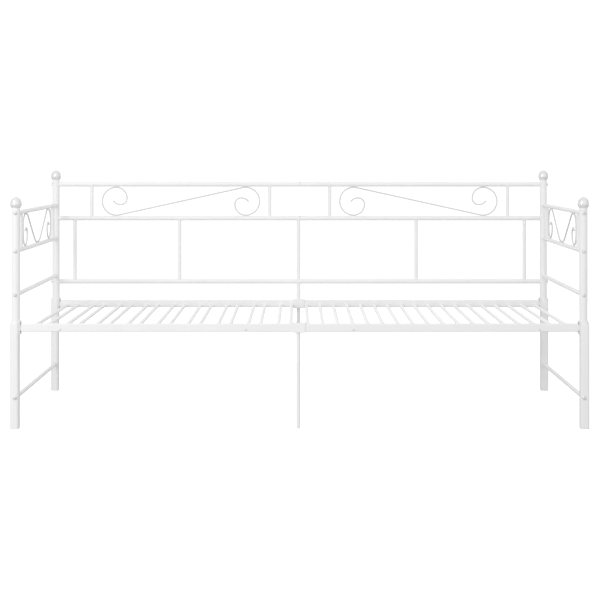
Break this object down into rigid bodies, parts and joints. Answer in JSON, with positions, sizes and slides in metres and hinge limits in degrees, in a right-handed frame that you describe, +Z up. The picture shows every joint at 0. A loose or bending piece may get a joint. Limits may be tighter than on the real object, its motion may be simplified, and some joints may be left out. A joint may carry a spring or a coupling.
{
  "type": "daybed frame",
  "caption": "White steel-tube daybed frame with scrolled back and arm panels, ball finials, a slatted platform and thin centre legs.",
  "frame": {"origin": "on the floor, at the bottom centre of the frame's box", "axes": "+X along the length towards the right arm as seen from the open front, +Y towards the backrest, +Z up"},
  "size_m": [2.072, 0.982, 0.9165],
  "materials": {
    "frame_paint": "glossy white powder coat",
    "slat_paint": "glossy white powder coat",
    "scroll_paint": "glossy white powder coat on round wire",
    "finial_plastic": "glossy white",
    "foot_plastic": "satin white",
    "bolt_zinc": "bright zinc plate",
    "screw_zinc": "bright zinc plate",
    "inner_steel": "bright zinc plate"
  },
  "bodies": {
    "root": {"post_front_left": "frame_paint", "leg_front_left": "frame_paint", "leg_socket_front_left": "frame_paint", "arm_scroll_front_left": "scroll_paint", "platform_rail_front_left": "frame_paint", "post_back_left": "frame_paint", "leg_back_left": "frame_paint", "leg_socket_back_left": "frame_paint", "arm_scroll_back_left": "scroll_paint", "platform_rail_back_left": "frame_paint", "arm_top_rail_left": "frame_paint", "arm_panel_rail_left": "frame_paint", "arm_lower_rail_left": "frame_paint", "leg_stretcher_left": "frame_paint", "arm_uprights_left": "frame_paint", "back_top_rail_left": "frame_paint", "back_middle_rail_left": "frame_paint", "back_bottom_rail_left": "frame_paint", "back_scroll_left": "scroll_paint", "post_front_right": "frame_paint", "leg_front_right": "frame_paint", "leg_socket_front_right": "frame_paint", "arm_scroll_front_right": "scroll_paint", "platform_rail_front_right": "frame_paint", "post_back_right": "frame_paint", "leg_back_right": "frame_paint", "leg_socket_back_right": "frame_paint", "arm_scroll_back_right": "scroll_paint", "platform_rail_back_right": "frame_paint", "arm_top_rail_right": "frame_paint", "arm_panel_rail_right": "frame_paint", "arm_lower_rail_right": "frame_paint", "leg_stretcher_right": "frame_paint", "arm_uprights_right": "frame_paint", "back_top_rail_right": "frame_paint", "back_middle_rail_right": "frame_paint", "back_bottom_rail_right": "frame_paint", "back_scroll_right": "scroll_paint", "finials_front": "finial_plastic", "rail_sleeve_front": "frame_paint", "rail_brackets_front": "frame_paint", "finials_back": "finial_plastic", "rail_sleeve_back": "frame_paint", "rail_brackets_back": "frame_paint", "foot_caps": "foot_plastic", "back_short_uprights": "frame_paint", "back_long_uprights": "frame_paint", "back_centre_post": "frame_paint", "centre_leg_front": "frame_paint", "centre_leg_back": "frame_paint", "centre_leg_caps": "foot_plastic", "slats_left": "slat_paint", "slats_right": "slat_paint", "arm_bolts": "bolt_zinc", "back_bolts": "bolt_zinc", "bracket_bolts": "bolt_zinc", "centre_bolts": "inner_steel", "threaded_inserts": "inner_steel", "rail_screws": "screw_zinc"}
  },
  "joints": []
}
